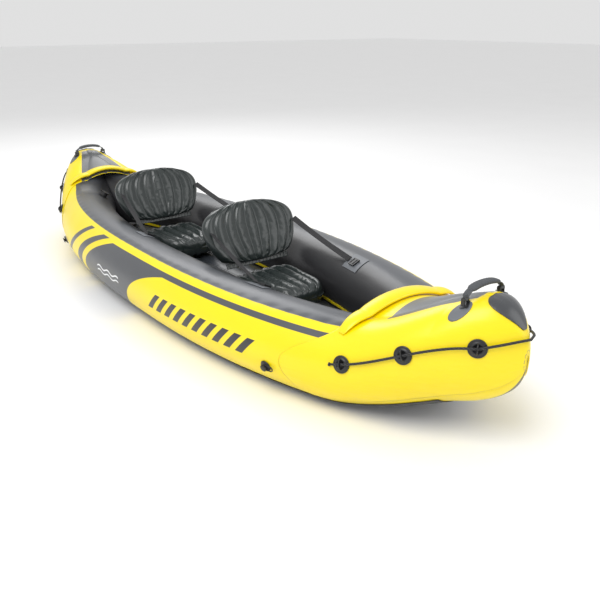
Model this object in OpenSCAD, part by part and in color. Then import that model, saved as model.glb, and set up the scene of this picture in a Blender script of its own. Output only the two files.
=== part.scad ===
/* [Hull] */
// Length of the side tubes, stem to stern
hull_l = 3108; // [2800:4:3600]
// Beam over the side tubes amidships
hull_w = 910; // [860:2:1000]
// Radius of a side tube amidships
tube_r = 141; // [130:1:150]
// How far each end curves up above the middle
rocker = 142; // [90:1:190]
// Extra depth of the hull where the tubes meet at the ends, as a share
stem_depth = 0.14; // [0:0.01:0.2]
// Thickness of the bottom skin
skin_t = 1.5; // [1:0.1:3]

/* [Floor] */
// Distance of the floor's ends from amidships
floor_end = 980; // [800:10:1000]
// Lengthwise beams in the floor
floor_beams = 5; // [3:1:7]
// Height of the beams above the floor's edge
beam_h = 8; // [3:0.5:12]
// Distance of the floor valve from amidships, towards the stern
floor_valve_x = 900; // [820:5:930]

/* [Spray covers] */
// Distance of the bow cover's open edge from amidships
bow_cover_x = 1060; // [1030:5:1150]
// Distance of the stern cover's open edge from amidships
stern_cover_x = 1170; // [1050:5:1200]
// Thickness of the cover sheet
cover_t = 1.2; // [0.8:0.1:2]
// How high the deck bows between the tubes
deck_crown = 30; // [15:1:40]
// Radius of the raised roll along the cockpit edge
coaming_r = 18; // [14:1:26]
// Length of the abrasion cap along each tip
cap_l = 118; // [90:2:140]
// Thickness of the tip cap
cap_t = 1.6; // [1:0.1:2.5]

/* [Grab lines] */
// Radius of the rope
rope_r = 3.8; // [2.5:0.1:4.5]
// Radius of a rope ring's base disc
ring_base_r = 27; // [20:1:32]
// Thickness of a rope ring's base disc
ring_base_t = 2.5; // [2:0.1:4]
// Distance of the inner, middle and outer rope rings from the tip
ring_gaps = [421, 254, 89]; // [60:1:450]
// Angle of the rope line above the tube's widest line
rope_angle = 14; // [10:1:35]

/* [Carry handles] */
// Distance of the handle's axis from the tip
handle_from_tip = 163; // [150:1:180]
// Distance between the two anchors, across the deck
handle_span = 150; // [140:2:170]
// Height of the handle above its pins
handle_rise = 32; // [30:1:60]
// Width of the handle strap
handle_strap_w = 20; // [16:1:26]
// Thickness of the handle strap
handle_strap_t = 2.4; // [1.5:0.1:3]
// Wall of the sleeve around the strap
sleeve_wall = 4; // [2.5:0.1:5]
// Radius of the pins that the handle turns on
handle_pin_r = 3; // [2.5:0.1:4]

/* [Seats] */
// Where the front backrest is hinged
front_seat_x = 290; // [260:5:310]
// Where the rear backrest is hinged
rear_seat_x = -515; // [-540:5:-480]
// Length of a seat cushion
cushion_l = 316; // [300:5:360]
// Width of a cushion at the back
cushion_w = 300; // [270:2:310]
// Width of a cushion at the front
cushion_front_w = 246; // [220:2:256]
// Thickness of a cushion
cushion_t = 112; // [75:1:125]
// Width of a backrest at its widest
back_w = 428; // [390:2:440]
// Width of a backrest along its lower edge
back_low_w = 300; // [270:2:310]
// Height of a backrest along its slope
back_h = 246; // [190:2:250]
// Thickness of a backrest
back_t = 62; // [50:1:66]
// How far the backrests lean back at rest
back_lean = 23; // [12:1:30]
// Width of the seat webbing
strap_w = 25; // [20:1:30]
// Thickness of the seat webbing
strap_t = 1.8; // [1.2:0.1:2.4]
// Distance of the strap anchors ahead of a hinge
strap_reach = 340; // [320:5:420]

/* [Valves] */
// Bore of an inflation valve on a side tube or the floor
valve_bore_r = 11; // [8:0.5:13]
// Wall of that valve's neck
valve_wall = 5; // [3:0.5:6]
// Height of that valve's neck
valve_h = 15; // [12:1:20]
// Distance of the side valves from amidships, towards the stern
side_valve_x = 1010; // [960:5:1030]
// Bore of a seat's inflation valve
seat_bore_r = 3.2; // [2.5:0.1:4]
// Height of a seat valve's stem
seat_valve_h = 8; // [6:0.5:10]

/* [Clearances] */
// Between pieces that lie on each other
gap = 0.6; // [0.4:0.1:1]
// Between pins, plugs and the holes around them
running_gap = 0.4; // [0.3:0.05:0.6]

/* [Hidden] */

half_l = hull_l / 2;
plan_p = 2.45;            // fullness of the plan outline
plan_q = 0.75;
tip_share = 0.9996;       // the last section stops this far along
merge_share = 0.9;        // a tube's half-width can't pass this share of the beam there
rise_start = 560;         // distances from the tip where the ends start and stop curving up
rise_stop = 60;
nose_l = 160;             // length of the rounded nose
base_z = skin_t + gap;    // underside of the tubes amidships
half_stations = 24;
sides = 32;
side_step = 360 / sides;
// Sections of the tubes, with one exactly at each cover's open edge
function even_station(k) = half_l * tip_share * sin(90 * k / half_stations);
function nearest_station(x) = round(asin(x / (half_l * tip_share)) / 90 * half_stations);
stations = [for (k = [-half_stations:half_stations])
    k == nearest_station(bow_cover_x) ? bow_cover_x
    : k == -nearest_station(stern_cover_x) ? -stern_cover_x : even_station(k)];

function smooth(a, b, v) = let (s = min(1, max(0, (v - a) / (b - a)))) s * s * (3 - 2 * s);
function share(x) = min(abs(x) / half_l, tip_share);
function unit(v) = v / norm(v);
function flat_list(rows) = [for (row = rows) each row];

// Plan outline and the elliptical section of a side tube, at a distance x from amidships
function edge_y(x) = hull_w / 2 * pow(1 - pow(share(x), plan_p), plan_q);
function plan_slope(x) = hull_w / hull_l * plan_p * plan_q * pow(share(x), plan_p - 1)
    * pow(1 - pow(share(x), plan_p), plan_q - 1);
function sec_y(x) = min(tube_r * sqrt(1 + pow(plan_slope(x), 2)), merge_share * edge_y(x));
function mid_y(x) = edge_y(x) - sec_y(x);
function sec_z(x) = let (s = max(0, (share(x) * half_l - half_l + nose_l) / nose_l))
    tube_r * (1 + stem_depth * smooth(half_l - 440, half_l - 200, abs(x))) * sqrt(1 - s * s);
function mid_z(x) = base_z + tube_r
    + rocker * pow(smooth(half_l - rise_start, half_l - rise_stop, abs(x)), 1.3);

// A point on the tube at angle a above its widest line, off outside it; x moves out with off at the tips
function on_tube(x, a, off = 0) = [x + sign(x) * off * pow(share(x), 6),
    max(gap / 2, mid_y(x) + (sec_y(x) + off) * cos(a)), mid_z(x) + (sec_z(x) + off) * sin(a)];
function port_side(p, side) = [p[0], side * p[1], p[2]];
// Height of the top of the cover at a place on deck
function crown(x) = deck_crown * min(1, mid_y(x) / 130);
function deck_z(x, y, off = 0) = abs(y) < mid_y(x)
    ? mid_z(x) + sec_z(x) + off + crown(x) * (1 - pow(y / mid_y(x), 2))
    : mid_z(x) + (sec_z(x) + off) * sqrt(max(0, 1 - pow((abs(y) - mid_y(x)) / (sec_y(x) + off), 2)));

// Closed body through rings of points, each ring turning from y to z as seen against +x
module rings_body(rings) {
    n = len(rings);
    m = len(rings[0]);
    polyhedron(flat_list(rings), concat(
        [[for (j = [0:m - 1]) j]],
        [for (i = [0:n - 2]) for (j = [0:m - 1]) let (a = i * m + j, b = a + m, k = (j + 1) % m)
            each [[a, b, (i + 1) * m + k], [a, (i + 1) * m + k, i * m + k]]],
        [[for (j = [m - 1:-1:0]) (n - 1) * m + j]]), convexity = 6);
}

// Sheet with an outer and an inner face; the diagonals of its second half are mirrored
module sheet_body(outer, inner, mirrored = false) {
    n = len(outer);
    m = len(outer[0]);
    half = floor((m - 1) / 2);
    total = n * m;
    function tri(a, b, c, d, first) = first ? [[a, b, c], [a, c, d]] : [[a, b, d], [b, c, d]];
    polyhedron(concat(flat_list(outer), flat_list(inner)), concat(
        [for (i = [0:n - 2]) for (j = [0:m - 2]) let (a = i * m + j, first = mirrored ? j >= half : j < half)
            each tri(a, a + m, a + m + 1, a + 1, first)],
        [for (i = [0:n - 2]) for (j = [0:m - 2])
            let (a = total + i * m + j, first = mirrored ? j >= half : j < half)
            each [for (t = tri(a, a + m, a + m + 1, a + 1, first)) [t[2], t[1], t[0]]]],
        [for (j = [0:m - 2]) [j, j + 1, total + j + 1, total + j]],
        [for (j = [0:m - 2]) let (e = (n - 1) * m) [e + j + 1, e + j, total + e + j, total + e + j + 1]],
        [for (i = [0:n - 2]) let (a = i * m) [a + m, a, total + a, total + a + m]],
        [for (i = [0:n - 2]) let (a = i * m + m - 1) [a, a + m, total + a + m, total + a]]),
        convexity = 8);
}

// Round rod along a list of points that never runs straight up
module rod(path, r, count = 8) {
    n = len(path);
    rings_body([for (i = [0:n - 1]) let (
        t = unit(path[min(n - 1, i + 1)] - path[max(0, i - 1)]),
        s = unit(cross(t, [0, 0, 1])), v = cross(s, t))
        [for (j = [0:count - 1]) path[i] + r * (cos(360 * j / count) * v + sin(360 * j / count) * s)]]);
}

// Flat band through points, each given with its width direction and its thickness direction
module band(path, across, up, w, t) {
    rings_body([for (i = [0:len(path) - 1]) [
        path[i] + across[i] * w / 2, path[i] + across[i] * w / 2 + up[i] * t,
        path[i] - across[i] * w / 2 + up[i] * t, path[i] - across[i] * w / 2]]);
}

// Patch that lies on a tube between two stations and two angles
module tube_patch(x0, x1, a0, a1, off, t, side, nx = 4, na = 5) {
    mirror([0, side < 0 ? 1 : 0, 0]) sheet_body(
        [for (i = [0:nx]) [for (j = [0:na])
            on_tube(x0 + (x1 - x0) * i / nx, a0 + (a1 - a0) * j / na, off + t)]],
        [for (i = [0:nx]) [for (j = [0:na]) on_tube(x0 + (x1 - x0) * i / nx, a0 + (a1 - a0) * j / na, off)]]);
}

// Pad with a rounded rim: an outline in x and y, given thickness up z, its rim a half circle
module pad(outline, t, rim_steps = 6) {
    reach = max([for (p = outline) norm(p)]);
    n = len(outline);
    levels = [for (k = [0:rim_steps]) let (b = -90 + 180 * k / rim_steps)
        [for (j = [0:n - 1]) let (p = outline[j] * (1 - t / 2 * (1 - cos(b)) / reach))
            [p[0], p[1], t / 2 * sin(b)]]];
    m = len(levels);
    polyhedron(flat_list(levels), concat([[for (j = [0:n - 1]) j]],
        [for (k = [0:m - 2]) for (j = [0:n - 1]) let (a = k * n + j, c = k * n + (j + 1) % n)
            each [[a, a + n, c], [c, a + n, c + n]]],
        [[for (j = [n - 1:-1:0]) (m - 1) * n + j]]), convexity = 4);
}

// ---- Hull ----
module side_tube() {
    rings_body([for (x = stations) [for (j = [0:sides - 1]) on_tube(x, side_step * j)]]);
}
module port_side_tube() { color([0.36, 0.37, 0.39]) side_tube(); }
module starboard_side_tube() { color([0.36, 0.37, 0.39]) mirror([0, 1, 0]) side_tube(); }

floor_stations = [for (x = stations) if (abs(x) < floor_end) x];
floor_side = [for (k = [1:6]) 180 + side_step * (8 - k)];   // angles of the tube that the floor fits against
floor_high = 180 + side_step * 2;
function floor_edge(x, a) = [x, mid_y(x) + (sec_y(x) + gap) * cos(a), mid_z(x) + (sec_z(x) + gap) * sin(a)];
function floor_top(x) = floor_edge(x, floor_high);
function beam_z(x, s) = floor_top(x)[2] + beam_h * sqrt(abs(sin(180 * floor_beams * s)));
module inflatable_floor() {
    beam_steps = floor_beams * 4;
    color([0.30, 0.31, 0.33]) rings_body([for (x = floor_stations) concat(
        [for (k = [0:beam_steps]) let (s = k / beam_steps, w = floor_top(x)[1])
            [x, w * (1 - 2 * s), beam_z(x, s)]],
        [for (k = [4:-1:0]) port_side(floor_edge(x, floor_side[k]), -1)],
        [for (k = [0:4]) floor_edge(x, floor_side[k])])]);
}

skin_end = half_l - 190;
skin_stations = [for (x = stations) if (abs(x) < skin_end) x];
skin_wrap = 3;             // steps of the tube's section that the skin wraps up each side
function skin_row(x, off) = let (low = mid_z(x) - sec_z(x) - off)
    concat([for (k = [skin_wrap:-1:0]) let (p = on_tube(x, -90 + side_step * k, off)) [x, -p[1], p[2]]],
        [[x, 0, low]],
        [for (k = [0:skin_wrap]) let (p = on_tube(x, -90 + side_step * k, off)) [x, p[1], p[2]]]);
module bottom_skin() {
    color([0.22, 0.23, 0.25]) sheet_body([for (x = skin_stations) skin_row(x, gap + skin_t)],
        [for (x = skin_stations) skin_row(x, gap)], mirrored = true);
}

seam_low = 192;            // angles of the tube that the seam strip covers
seam_high = 197;
module floor_seam_strips() {
    color([0.93, 0.83, 0.05]) for (side = [-1, 1]) tube_patch(-floor_end + 20, floor_end - 60, seam_low,
        seam_high, gap, 1, side, nx = 20, na = 2);
}

// ---- Spray covers ----
cover_low = -4;            // steps of the section from the widest line down to the cover's lower hem
deck_steps = 3;
function cover_row(x, off) = concat(
    [for (k = [cover_low:8]) on_tube(x, side_step * k, off)],
    [for (k = [1:deck_steps]) let (y = mid_y(x) * (1 - k / (deck_steps + 1)), p = on_tube(x, 90, off))
        [p[0], max(gap / 2 * (deck_steps + 2 - k), y), deck_z(x, y, off)]],
    [[on_tube(x, 90, off)[0], 0, deck_z(x, 0, off)]],
    [for (k = [deck_steps:-1:1]) let (y = mid_y(x) * (1 - k / (deck_steps + 1)), p = on_tube(x, 90, off))
        [p[0], -max(gap / 2 * (deck_steps + 2 - k), y), deck_z(x, y, off)]],
    [for (k = [8:-1:cover_low]) port_side(on_tube(x, side_step * k, off), -1)]);
module cover(rows) {
    sheet_body([for (x = rows) cover_row(x, gap + cover_t)], [for (x = rows) cover_row(x, gap)]);
}
module to_stern() { mirror([1, 0, 0]) children(); }
module bow_spray_cover() {
    color([0.96, 0.86, 0.02]) cover([for (x = stations) if (x >= bow_cover_x) x]);
}
module stern_spray_cover() {
    color([0.96, 0.86, 0.02]) cover([for (x = stations) if (x <= -stern_cover_x) x]);
}

// Raised roll across the deck along a cover's open edge
coaming_steps = 18;
module coaming(edge_x) {
    x = edge_x + coaming_r;
    reach = mid_y(x) + sec_y(x) * 0.42;
    clear = gap * 6 + cover_t;
    lift = clear + coaming_r;
    rings_body([for (i = [0:coaming_steps]) let (y = reach * (2 * i / coaming_steps - 1), round_end =
        coaming_r * (0.55 + 0.45 * sqrt(1 - pow(abs(2 * i / coaming_steps - 1), 6))))
        [for (j = [0:11]) [x + round_end * sin(30 * j), y,
            max(deck_z(x + round_end * sin(30 * j), y, clear),
                deck_z(x, y) + lift + round_end * cos(30 * j))]]]);
}
module bow_coaming_roll() { color([0.97, 0.88, 0.05]) coaming(bow_cover_x); }
module stern_coaming_roll() { color([0.97, 0.88, 0.05]) to_stern() coaming(stern_cover_x); }

// Abrasion cap over the upper half of a tip
cap_off = gap * 2 + cover_t;
cap_low = 4;               // steps above the widest line where the cap starts
function cap_row(x, off) = concat(
    [for (k = [cap_low:7]) on_tube(x, side_step * k, off)],
    [[on_tube(x, 90, off)[0], 0, deck_z(x, 0, off)]],
    [for (k = [7:-1:cap_low]) port_side(on_tube(x, side_step * k, off), -1)]);
module tip_cap(end) {
    rows = [for (x = stations) if (end * x > half_l - cap_l) x];
    color([0.24, 0.25, 0.26]) sheet_body([for (x = rows) cap_row(x, cap_off + cap_t)],
        [for (x = rows) cap_row(x, cap_off)]);
}
module bow_tip_cap() { tip_cap(1); }
module stern_tip_cap() { tip_cap(-1); }

// ---- Grab lines ----
cover_out = gap + cover_t;
ring_low = cover_out + 2 * gap;
rope_off = ring_low + ring_base_t + gap + rope_r;
nose_x = half_l - 15;      // where the rope crosses the nose, and how high
nose_rope_z = base_z + tube_r + 206;
last_ring_x = half_l - ring_gaps[2];
dome_share = 0.7;          // a ring's dome against its base disc
rise_x = last_ring_x + ring_base_r * dome_share + 2;    // clear of the last ring's hole
function line_z(x) = let (z = mid_z(x) + (sec_z(x) + rope_off) * sin(rope_angle),
    z0 = mid_z(rise_x) + (sec_z(rise_x) + rope_off) * sin(rope_angle))
    x < rise_x ? z : z0 + (nose_rope_z - z0) * (x - rise_x) / (nose_x - rise_x);
function line_point(x) = let (z = line_z(x), b = (z - mid_z(x)) / (sec_z(x) + rope_off),
    y = mid_y(x) + (sec_y(x) + rope_off) * sqrt(max(0, 1 - b * b)))
    [x + rope_off * pow(share(x), 6), y, z];
line_start = half_l - ring_gaps[0] - 25;
line_steps = 16;
nose_bend = [line_point(nose_x)[0] + 2 * rope_r, 0, nose_rope_z];
half_line = [for (i = [0:line_steps]) let (s = i / line_steps)
    line_point(line_start + (nose_x - 6 - line_start) * (1 - pow(1 - s, 1.6)))];
line_path = concat([for (p = half_line) [p[0], -p[1], p[2]]], [nose_bend],
    [for (i = [line_steps:-1:0]) half_line[i]]);
module grab_line() { color([0.05, 0.05, 0.06]) rod(line_path, rope_r); }
module bow_grab_line() { grab_line(); }
module stern_grab_line() { to_stern() grab_line(); }

knot_r = 6.5;
module line_knots() {
    p = line_path[0];
    t = unit(line_path[0] - line_path[1]);
    color([0.05, 0.05, 0.06]) for (side = [-1, 1]) mirror([0, side > 0 ? 1 : 0, 0])
        translate(p + t * (knot_r + gap)) sphere(r = knot_r, $fn = 24);
}
module bow_line_knots() { line_knots(); }
module stern_line_knots() { to_stern() line_knots(); }

// Puts children on a tube at a station and an angle, z pointing straight out
module on_surface(x, a, off) {
    d = 2;
    p = on_tube(x, a, off);
    along = unit(on_tube(x + d, a, off) - on_tube(x - d, a, off));
    around = unit(on_tube(x, a + 1, off) - on_tube(x, a - 1, off));
    out = unit(cross(around, along));
    side = cross(out, along);
    multmatrix([[along[0], side[0], out[0], p[0]], [along[1], side[1], out[1], p[1]],
        [along[2], side[2], out[2], p[2]], [0, 0, 0, 1]]) children();
}
module rope_ring() {
    dome_h = rope_r * 2 + 6;
    difference() {
        union() {
            cylinder(r = ring_base_r, h = ring_base_t, $fn = 40);
            cylinder(r1 = ring_base_r * dome_share, r2 = ring_base_r * 0.45, h = dome_h, $fn = 40);
        }
        translate([-ring_base_r - 5, 0, ring_base_t + gap + rope_r]) rotate([0, 90, 0])
            cylinder(r = rope_r + 2.4, h = 2 * ring_base_r + 10, $fn = 24);
    }
}
module rope_rings() {
    color([0.06, 0.06, 0.07]) for (g = ring_gaps) for (side = [-1, 1]) mirror([0, side < 0 ? 1 : 0, 0])
        on_surface(half_l - g, rope_angle, ring_low) rope_ring();
}
module bow_rope_rings() { rope_rings(); }
module stern_rope_rings() { to_stern() rope_rings(); }

// Moulded hooks on the tubes and the loops that hold the covers' lower corners to them
hook_from_mid = 866;
hook_angle = -15;
hook_post_r = 7;
hook_h = 16;
module at_hooks() {
    for (end = [-1, 1]) for (side = [-1, 1]) mirror([end < 0 ? 1 : 0, 0, 0])
        mirror([0, side < 0 ? 1 : 0, 0]) on_surface(hook_from_mid, hook_angle, gap) children();
}
module cover_tie_hooks() {
    color([0.05, 0.05, 0.06]) at_hooks() {
        cylinder(r = 20, h = 4, $fn = 40);
        cylinder(r = hook_post_r, h = hook_h, $fn = 32);
        translate([0, 0, hook_h - 5]) cylinder(r = 12, h = 5, $fn = 32);
    }
}
module loop_outline(r) {
    circle(r = r, $fn = 32);
    translate([0, -r]) square([22, 2 * r]);
    translate([22, 0]) circle(r = r, $fn = 32);
}
module cover_tie_loops() {
    color([0.07, 0.07, 0.08]) at_hooks() translate([0, 0, 4 + gap]) difference() {
        linear_extrude(4) loop_outline(hook_post_r + gap + 4);
        translate([0, 0, -1]) linear_extrude(6) loop_outline(hook_post_r + gap);
    }
}

// ---- Carry handles ----
handle_x = half_l - handle_from_tip;
handle_y = handle_span / 2;
ring_out = handle_pin_r + running_gap + 3.2;
anchor_w = 14;             // free width between an anchor's ears
ear_t = 3;
anchor_span = anchor_w + 2 * ear_t;
pin_z = deck_z(handle_x, handle_y - anchor_span / 2) + cover_out + 12;
patch_mid = acos((handle_y - mid_y(handle_x)) / sec_y(handle_x));   // the tube's angle under an anchor
patch_t = 1.2;
foot_l = 24;
foot_w = 28;
ear_l = 12;
// How far the deck's upward curve rises over a straight foot of half length d
function deck_sag(d) = max(0, (on_tube(handle_x + d, patch_mid)[2] + on_tube(handle_x - d, patch_mid)[2]) / 2
    - on_tube(handle_x, patch_mid)[2]);
function arch(rise, half_w, n = 24) = [for (i = [0:n]) let (b = 180 * i / n)
    [half_w * cos(b), rise * pow(sin(b), 0.8)]];
module arch_band(t_in, t_out, from, to) {
    n = 24;
    inner = arch(handle_rise + t_in, handle_y + t_in);
    outer = arch(handle_rise + t_out, handle_y + t_out);
    polygon(concat([for (i = [from:to]) inner[i]], [for (i = [to:-1:from]) outer[i]]));
}
module across_deck(w) {
    translate([handle_x - w / 2, 0, pin_z]) rotate([90, 0, 90]) linear_extrude(w) children();
}
module handle_strap() {
    color([0.30, 0.31, 0.32]) difference() {
        union() {
            across_deck(handle_strap_w) arch_band(-handle_strap_t / 2, handle_strap_t / 2, 1, 23);
            for (side = [-1, 1]) translate([handle_x, side * handle_y, pin_z]) {
                rotate([90, 0, 0]) cylinder(r = ring_out, h = anchor_w - 2 * gap, center = true, $fn = 40);
                translate([-handle_strap_w / 2 + 5, -4, 0]) cube([handle_strap_w - 10, 5, 14]);
            }
        }
        for (side = [-1, 1]) translate([handle_x, side * handle_y, pin_z]) rotate([90, 0, 0])
            cylinder(r = handle_pin_r + running_gap, h = anchor_w + 10, center = true, $fn = 40);
    }
}
module handle_sleeve() {
    slot = handle_strap_t / 2 + running_gap;
    out = slot + sleeve_wall;
    color([0.40, 0.41, 0.42]) difference() {
        across_deck(handle_strap_w + 2 * sleeve_wall) arch_band(-out, out, 5, 19);
        across_deck(handle_strap_w + 2 * running_gap) arch_band(-slot, slot, 4, 20);
    }
}
module handle_anchors() {
    foot_off = cover_out + 3 * gap + patch_t + deck_sag(foot_l / 2);
    color([0.06, 0.06, 0.07]) for (side = [-1, 1]) mirror([0, side < 0 ? 1 : 0, 0]) {
        on_surface(handle_x, patch_mid, foot_off)
            translate([-foot_l / 2, -foot_w / 2, 0]) cube([foot_l, foot_w, 2]);
        for (ear = [-1, 1]) let (y = handle_y + ear * (anchor_w + ear_t) / 2,
            low = foot_off + gap + max([for (d = [-1, 1]) for (e = [-1, 1])
                deck_z(handle_x + d * ear_l / 2, y + e * ear_t / 2)])) translate([handle_x, y, 0]) {
                translate([-ear_l / 2, -ear_t / 2, low]) cube([ear_l, ear_t, pin_z - low]);
                translate([0, 0, pin_z]) rotate([90, 0, 0])
                    cylinder(r = ear_l / 2, h = ear_t, center = true, $fn = 32);
            }
        translate([handle_x, handle_y, pin_z]) rotate([90, 0, 0])
            cylinder(r = handle_pin_r, h = anchor_span, center = true, $fn = 32);
    }
}
module handle_patches() {
    color([0.42, 0.43, 0.44]) for (side = [-1, 1])
        tube_patch(handle_x - 24, handle_x + 24, patch_mid - 22, patch_mid + 6, cover_out + gap, patch_t, side);
}
module bow_handle_patches() { handle_patches(); }
module bow_handle_anchors() { handle_anchors(); }
module bow_handle_strap() { handle_strap(); }
module bow_handle_sleeve() { handle_sleeve(); }
module stern_handle_patches() { to_stern() handle_patches(); }
module stern_handle_anchors() { to_stern() handle_anchors(); }
module stern_handle_strap() { to_stern() handle_strap(); }
module stern_handle_sleeve() { to_stern() handle_sleeve(); }

// ---- Seats ----
floor_z = base_z + tube_r * (1 - sin(floor_high - 180)) + beam_h;
cushion_z = floor_z + gap;
hinge_lift = 11;           // the hinge line over a cushion, room for the backrest's foot to turn
hinge_z = cushion_z + cushion_t + hinge_lift;
back_foot = 9;             // distance from the hinge line to the backrest's lower edge
cushion_back = 12;         // how far a cushion reaches behind the hinge
meant_clear = 346;         // space between the tubes that the seat widths are given for
seat_share = (hull_w - 4 * tube_r) / meant_clear;    // seats narrow or widen with that space
function cushion_outline() = let (l = cushion_l / 2, n = 40)
    [for (i = [0:n - 1]) let (b = 360 * i / n, c = cos(b), s = sin(b),
        x = l * sign(c) * pow(abs(c), 0.42), w = seat_share * ((cushion_w + cushion_front_w) / 4
            - (cushion_w - cushion_front_w) / 4 * x / l))
        [x, w * sign(s) * pow(abs(s), 0.42)]];
module cushion(seat_x) {
    color([0.17, 0.21, 0.20]) translate([seat_x - cushion_back + cushion_l / 2, 0, cushion_z + cushion_t / 2])
        pad(cushion_outline(), cushion_t);
}
// The outline runs up the slope in x and across in y: widest at back_full of its height, round above
back_full = 0.6;
function back_half(t) = seat_share * (t < back_full
        ? back_low_w / 2 + (back_w - back_low_w) / 2 * sin(90 * t / back_full)
        : back_w / 2 * pow(max(0, 1 - pow((t - back_full) / (1 - back_full), 2.3)), 0.46))
    * (t < 0.1 ? pow(t / 0.1 * (2 - t / 0.1), 0.35) : 1);
function back_outline() = let (n = 20, side = [for (k = [1:n - 1]) (1 - cos(180 * k / n)) / 2])
    concat([[-back_h / 2, 0]], [for (t = side) [back_h * (t - 0.5), -back_half(t)]],
        [[back_h / 2, 0]], [for (k = [n - 2:-1:0]) let (t = side[k]) [back_h * (t - 0.5), back_half(t)]]);
module on_backrest(seat_x) {
    translate([seat_x, 0, hinge_z]) rotate([0, -90 - back_lean, 0]) children();
}
module backrest(seat_x) {
    color([0.17, 0.21, 0.20]) on_backrest(seat_x) translate([back_foot + back_h / 2, 0, 0])
        pad(back_outline(), back_t);
}
module front_cushion() { cushion(front_seat_x); }
module rear_cushion() { cushion(rear_seat_x); }
module front_backrest() { backrest(front_seat_x); }
module rear_backrest() { backrest(rear_seat_x); }

// Webbing from a backrest's upper side down to a buckle on the tube
anchor_angle = 118;
strap_high = back_h * 0.62;
buckle_l = 34;
buckle_t = 6;
function strap_from(seat_x) = [seat_x - (back_foot + strap_high) * sin(back_lean) + back_t / 2 + 6.8,
    seat_share * back_w / 2 - 22, hinge_z + (back_foot + strap_high) * cos(back_lean)];
function strap_to(seat_x) = on_tube(seat_x + strap_reach - buckle_l, anchor_angle, 2 + gap * 2 + buckle_t / 2);
module side_strap(seat_x, side) {
    p = strap_from(seat_x);
    q = strap_to(seat_x);
    t = unit(q - p);
    across = unit(cross(t, [0, -0.55, 1]));
    up = cross(across, t);
    color([0.05, 0.05, 0.06]) mirror([0, side < 0 ? 1 : 0, 0])
        band([for (s = [0:3]) p + (q - p) * s / 3], [for (s = [0:3]) -across], [for (s = [0:3]) up],
            strap_w, strap_t);
}
module front_port_strap() { side_strap(front_seat_x, 1); }
module front_starboard_strap() { side_strap(front_seat_x, -1); }
module rear_port_strap() { side_strap(rear_seat_x, 1); }
module rear_starboard_strap() { side_strap(rear_seat_x, -1); }

module strap_patches() {
    color([0.40, 0.41, 0.43]) for (seat_x = [front_seat_x, rear_seat_x]) for (side = [-1, 1])
        tube_patch(seat_x + strap_reach - 45, seat_x + strap_reach + 45, anchor_angle - 18, anchor_angle + 14,
            gap, patch_t, side, nx = 6, na = 8);
}
module strap_buckles() {
    wide = strap_w + 10;
    color([0.05, 0.05, 0.06]) for (seat_x = [front_seat_x, rear_seat_x]) for (side = [-1, 1])
        mirror([0, side < 0 ? 1 : 0, 0]) on_surface(seat_x + strap_reach, anchor_angle, patch_t + 3 * gap)
            difference() {
                translate([-buckle_l / 2, -wide / 2, 0]) cube([buckle_l, wide, buckle_t]);
                for (k = [-1, 1]) translate([k * 9 - 3, -strap_w / 2 - 1, -1])
                    cube([6, strap_w + 2, buckle_t + 2]);
            }
}

// ---- Valves ----
flange_t = 2;
cap_rim = 4;
cap_h = 4;
plug_depth = 4;
mouth_depth = plug_depth + gap;     // the wider mouth above the bore, which the cap's plug sits in
mouth_r = valve_bore_r + valve_wall * 0.3;
neck_r = valve_bore_r + valve_wall;
valve_hinge = neck_r + 8;
module valve() {
    difference() {
        union() {
            cylinder(r = neck_r + 9, h = flange_t, $fn = 48);
            cylinder(r = neck_r, h = flange_t + valve_h, $fn = 48);
        }
        translate([0, 0, flange_t]) cylinder(r = valve_bore_r, h = valve_h + 1, $fn = 48);
        translate([0, 0, flange_t + valve_h - mouth_depth])
            cylinder(r = mouth_r, h = mouth_depth + 1, $fn = 48);
    }
}
module valve_cap() {
    translate([0, 0, flange_t + valve_h + gap]) {
        cylinder(r = neck_r + cap_rim, h = cap_h, $fn = 48);
        translate([0, 0, -plug_depth - gap])
            cylinder(r = mouth_r - 2 * running_gap, h = plug_depth + gap + 1, $fn = 48);
        translate([-6, neck_r, 0]) cube([12, valve_hinge - neck_r, 2.5]);
        translate([0, valve_hinge, 1.25]) rotate([0, 90, 0])
            cylinder(r = 2.5, h = 14, center = true, $fn = 24);
    }
}
valve_angle = 124;
module on_valve(side) {
    mirror([0, side < 0 ? 1 : 0, 0]) on_surface(-side_valve_x, valve_angle, 3 * gap) children();
}
module port_valve() { color([0.08, 0.08, 0.09]) on_valve(1) valve(); }
module port_valve_cap() { color([0.08, 0.08, 0.09]) on_valve(1) valve_cap(); }
module starboard_valve() { color([0.08, 0.08, 0.09]) on_valve(-1) valve(); }
module starboard_valve_cap() { color([0.08, 0.08, 0.09]) on_valve(-1) valve_cap(); }
module on_floor_valve() {
    translate([-floor_valve_x * pow(seat_share, 0.25), 0, floor_z + gap]) rotate([0, 0, 90]) children();
}
module floor_valve() { color([0.08, 0.08, 0.09]) on_floor_valve() valve(); }
module floor_valve_cap() { color([0.08, 0.08, 0.09]) on_floor_valve() valve_cap(); }

seat_stem_r = seat_bore_r + 3;
seat_hinge = seat_stem_r + 3.5;
module seat_valve() {
    difference() {
        union() {
            cylinder(r = seat_stem_r + 5, h = 1.5, $fn = 40);
            cylinder(r = seat_stem_r, h = seat_valve_h, $fn = 40);
        }
        translate([0, 0, 1.5]) cylinder(r = seat_bore_r, h = seat_valve_h, $fn = 40);
    }
}
module seat_plug() {
    translate([0, 0, seat_valve_h + running_gap]) {
        cylinder(r = seat_stem_r + 1, h = 2.5, $fn = 40);
        translate([0, 0, -2.4]) cylinder(r = seat_bore_r - 0.6, h = 3, $fn = 32);
        translate([-3, 0, 0]) cube([6, seat_hinge, 2]);
        translate([0, seat_hinge, 1]) rotate([0, 90, 0]) cylinder(r = 1.6, h = 8, center = true, $fn = 24);
    }
}
module on_cushion_rear(seat_x) {
    translate([seat_x - cushion_back - gap, 0, cushion_z + cushion_t / 2])
        rotate([0, -90, 0]) rotate([0, 0, -90]) children();
}
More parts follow.
